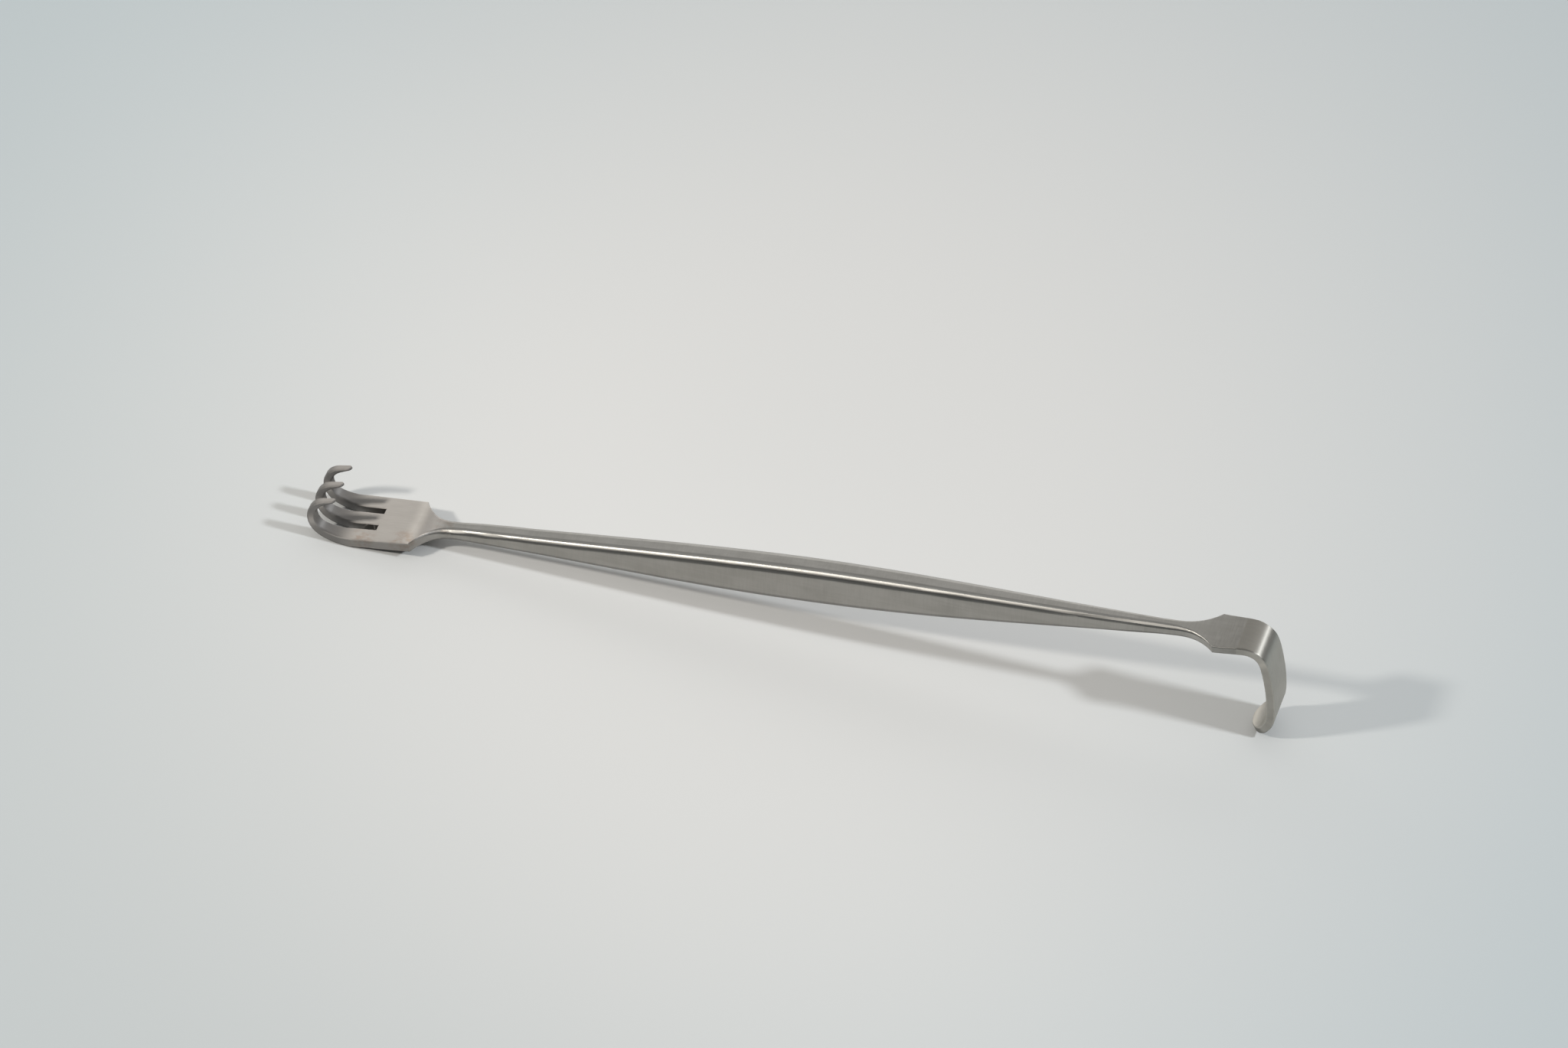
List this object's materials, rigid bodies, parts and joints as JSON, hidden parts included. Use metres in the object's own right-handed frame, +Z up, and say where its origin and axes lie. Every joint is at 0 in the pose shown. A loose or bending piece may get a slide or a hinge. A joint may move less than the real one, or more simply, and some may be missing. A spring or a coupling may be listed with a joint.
{
  "type": "handheld surgical retractor",
  "caption": "Double-ended hand-held surgical retractor: a slender flat-sided steel handle with a small curled rake at one end and a solid right-angle blade with a turned-in toe at the other.",
  "frame": {"origin": "middle of the length and width, on the surface that the retractor rests on", "axes": "+X along the handle, from the rake to the blade; +Y across it, square to the mirror plane; +Z up from the table, the way the prongs curl"},
  "size_m": [0.1592, 0.0106, 0.0188],
  "materials": {
    "stainless_steel": "satin: very fine cross grain, with softly polished long edges and prongs"
  },
  "bodies": {
    "root": {"retractor": "stainless_steel"}
  },
  "joints": []
}
